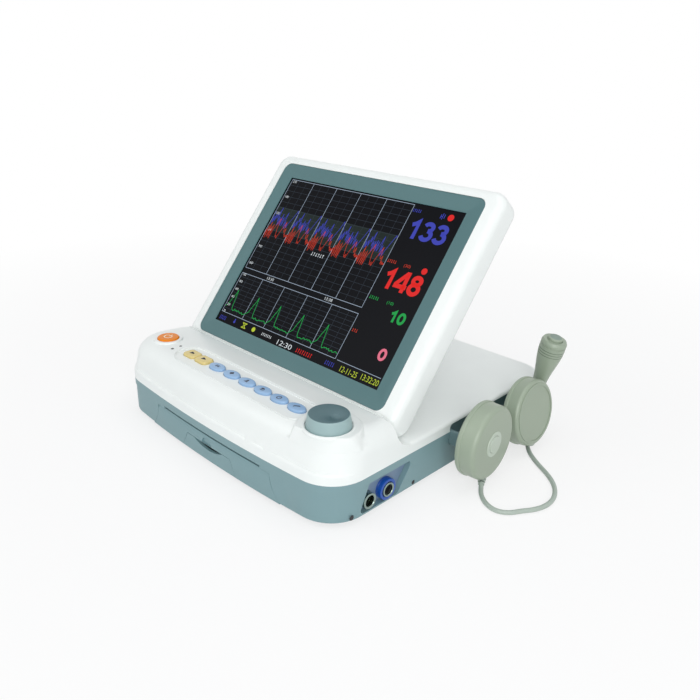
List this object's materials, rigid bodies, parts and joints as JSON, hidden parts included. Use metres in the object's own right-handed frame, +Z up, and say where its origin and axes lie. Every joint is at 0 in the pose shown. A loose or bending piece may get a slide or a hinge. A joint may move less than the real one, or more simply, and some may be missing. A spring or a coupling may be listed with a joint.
{
  "type": "cardiotocograph",
  "caption": "Bench-top fetal monitor with a fold-down screen, key row, dial, paper drawer, and belt transducers and event marker hung on its side.",
  "frame": {"origin": "middle of the case's footprint, on the plane that the rubber feet stand on", "axes": "+X to the user's right, +Y to the back, +Z up"},
  "size_m": [0.4318, 0.4087, 0.2555],
  "materials": {
    "white_shell": "moulded, light satin gloss",
    "grey_green_shell": "moulded, fine texture",
    "bezel_green": "moulded, fine texture",
    "screen_glass": "coated glass",
    "screen_panel": "dark panel",
    "orange_key": "gloss",
    "yellow_key": "gloss, translucent",
    "blue_key": "gloss, translucent",
    "knob_teal": "satin",
    "socket_blue": "gloss",
    "socket_metal": "plated",
    "probe_grey": "smooth moulded",
    "probe_light": "smooth moulded",
    "cord_grey": "smooth jacket",
    "rubber_black": "moulded",
    "steel": "bright zinc",
    "brass": "turned",
    "board_green": "solder resist",
    "pack_blue": "shrink wrap",
    "supply_steel": "pressed sheet",
    "black_plastic": "moulded",
    "lamp_green": "clear moulded"
  },
  "bodies": {
    "base": {"upper_case": "white_shell", "lower_case": "grey_green_shell", "rubber_feet": "rubber_black", "case_screws": "steel", "connector_plate": "grey_green_shell", "blue_socket": "socket_blue", "grey_socket": "socket_metal", "transducer_holder": "grey_green_shell", "main_board": "board_green", "power_supply": "supply_steel", "battery_pack": "pack_blue", "loudspeaker": "black_plastic", "key_board": "board_green", "encoder_body": "supply_steel", "status_lamps": "lamp_green", "mains_inlet": "black_plastic", "earth_stud": "brass", "printer_frame": "steel", "print_head": "supply_steel", "stepper_motor": "steel", "hinge_leaves": "steel", "cord_run": "cord_grey", "cord_coil": "cord_grey", "cord_plug": "cord_grey"},
    "display": {"display_front": "white_shell", "display_back": "white_shell", "bezel": "bezel_green", "screen_glass": "screen_glass", "screen_module": "screen_panel", "display_board": "board_green", "hinge_shafts": "steel"},
    "power": {"power_button": "orange_key"},
    "encoder_push": {"encoder_plunger": "black_plastic"},
    "dial": {"knob": "knob_teal", "encoder_spindle": "steel"},
    "drawer": {"paper_drawer": "grey_green_shell", "latch_pins": "steel"},
    "latch": {"latch_paddle": "grey_green_shell"},
    "platen": {"platen_roller": "rubber_black", "platen_shaft": "steel"},
    "pinion": {"motor_pinion": "brass"},
    "toco": {"toco_front": "probe_grey", "toco_back": "probe_grey", "toco_insert": "probe_light", "toco_boot": "cord_grey"},
    "toco_sensor": {"toco_button": "probe_light"},
    "sono": {"sono_front": "probe_grey", "sono_back": "probe_grey", "sono_gland": "cord_grey"},
    "marker": {"marker_grip": "probe_grey"},
    "marker_push": {"marker_button": "probe_light"},
    "print_key_body": {"print_key": "yellow_key"},
    "feed_key_body": {"feed_key": "yellow_key"},
    "mute_key_body": {"mute_key": "blue_key"},
    "zero_key_body": {"zero_key": "blue_key"},
    "mark_key_body": {"mark_key": "blue_key"},
    "mode_key_body": {"mode_key": "blue_key"},
    "clock_key_body": {"clock_key": "blue_key"},
    "menu_key_body": {"menu_key": "blue_key"}
  },
  "joints": [
    {"name": "display_tilt", "type": "hinge", "parent": "base", "child": "display", "pos_m": [0, -0.0645, 0.07], "axis": [1, 0, 0], "range_deg": [-51.5, 23.5]},
    {"name": "power_press", "type": "slide", "parent": "base", "child": "power", "axis": [0, 0, -1], "range_m": [0, 0.0009], "stiffness_N_per_m": 800, "springref_m": -0.0008},
    {"name": "dial_press", "type": "slide", "parent": "base", "child": "encoder_push", "axis": [0, 0, -1], "range_m": [0, 0.0006], "stiffness_N_per_m": 1000, "springref_m": -0.0008},
    {"name": "dial_turn", "type": "hinge", "parent": "encoder_push", "child": "dial", "pos_m": [0.131, -0.1325, 0.08], "axis": [0, 0, 1], "continuous": true},
    {"name": "drawer_slide", "type": "slide", "parent": "base", "child": "drawer", "axis": [0, -1, 0], "range_m": [0, 0.09]},
    {"name": "latch_pull", "type": "hinge", "parent": "drawer", "child": "latch", "pos_m": [0, -0.1611, 0.0086], "axis": [1, 0, 0], "range_deg": [0, 15], "stiffness_Nm_per_rad": 0.05, "springref_deg": -11.46},
    {"name": "platen_spin", "type": "hinge", "parent": "drawer", "child": "platen", "pos_m": [0, -0.152, 0.0248], "axis": [1, 0, 0], "continuous": true},
    {"name": "pinion_spin", "type": "hinge", "parent": "base", "child": "pinion", "pos_m": [0.08, -0.144, 0.0248], "axis": [1, 0, 0], "continuous": true},
    {"name": "toco_lift", "type": "slide", "parent": "base", "child": "toco", "axis": [0, 0, 1], "range_m": [0, 0.015], "deforming": ["cord_run"]},
    {"name": "toco_press", "type": "slide", "parent": "toco", "child": "toco_sensor", "axis": [-0.9976, -0.0698, 0], "range_m": [0, 0.0008], "stiffness_N_per_m": 600, "springref_m": -0.0006},
    {"name": "sono_lift", "type": "slide", "parent": "base", "child": "sono", "axis": [0, 0, 1], "range_m": [0, 0.015]},
    {"name": "marker_lift", "type": "slide", "parent": "base", "child": "marker", "axis": [0.2113, 0, 0.9774], "range_m": [0, 0.03]},
    {"name": "marker_press", "type": "slide", "parent": "marker", "child": "marker_push", "axis": [-0.2113, 0, -0.9774], "range_m": [0, 0.002], "stiffness_N_per_m": 500, "springref_m": -0.001},
    {"name": "print_press_key", "type": "slide", "parent": "base", "child": "print_key_body", "axis": [0, 0, -1], "range_m": [0, 0.0009], "stiffness_N_per_m": 800, "springref_m": -0.0008},
    {"name": "feed_press_key", "type": "slide", "parent": "base", "child": "feed_key_body", "axis": [0, 0, -1], "range_m": [0, 0.0009], "stiffness_N_per_m": 800, "springref_m": -0.0008},
    {"name": "mute_press_key", "type": "slide", "parent": "base", "child": "mute_key_body", "axis": [0, 0, -1], "range_m": [0, 0.0009], "stiffness_N_per_m": 800, "springref_m": -0.0008},
    {"name": "zero_press_key", "type": "slide", "parent": "base", "child": "zero_key_body", "axis": [0, 0, -1], "range_m": [0, 0.0009], "stiffness_N_per_m": 800, "springref_m": -0.0008},
    {"name": "mark_press_key", "type": "slide", "parent": "base", "child": "mark_key_body", "axis": [0, 0, -1], "range_m": [0, 0.0009], "stiffness_N_per_m": 800, "springref_m": -0.0008},
    {"name": "mode_press_key", "type": "slide", "parent": "base", "child": "mode_key_body", "axis": [0, 0, -1], "range_m": [0, 0.0009], "stiffness_N_per_m": 800, "springref_m": -0.0008},
    {"name": "clock_press_key", "type": "slide", "parent": "base", "child": "clock_key_body", "axis": [0, 0, -1], "range_m": [0, 0.0009], "stiffness_N_per_m": 800, "springref_m": -0.0008},
    {"name": "menu_press_key", "type": "slide", "parent": "base", "child": "menu_key_body", "axis": [0, 0, -1], "range_m": [0, 0.0009], "stiffness_N_per_m": 800, "springref_m": -0.0008}
  ],
  "couplings": [
    {"joint": "pinion_spin", "follows": "platen_spin", "ratio": -1.6667}
  ]
}
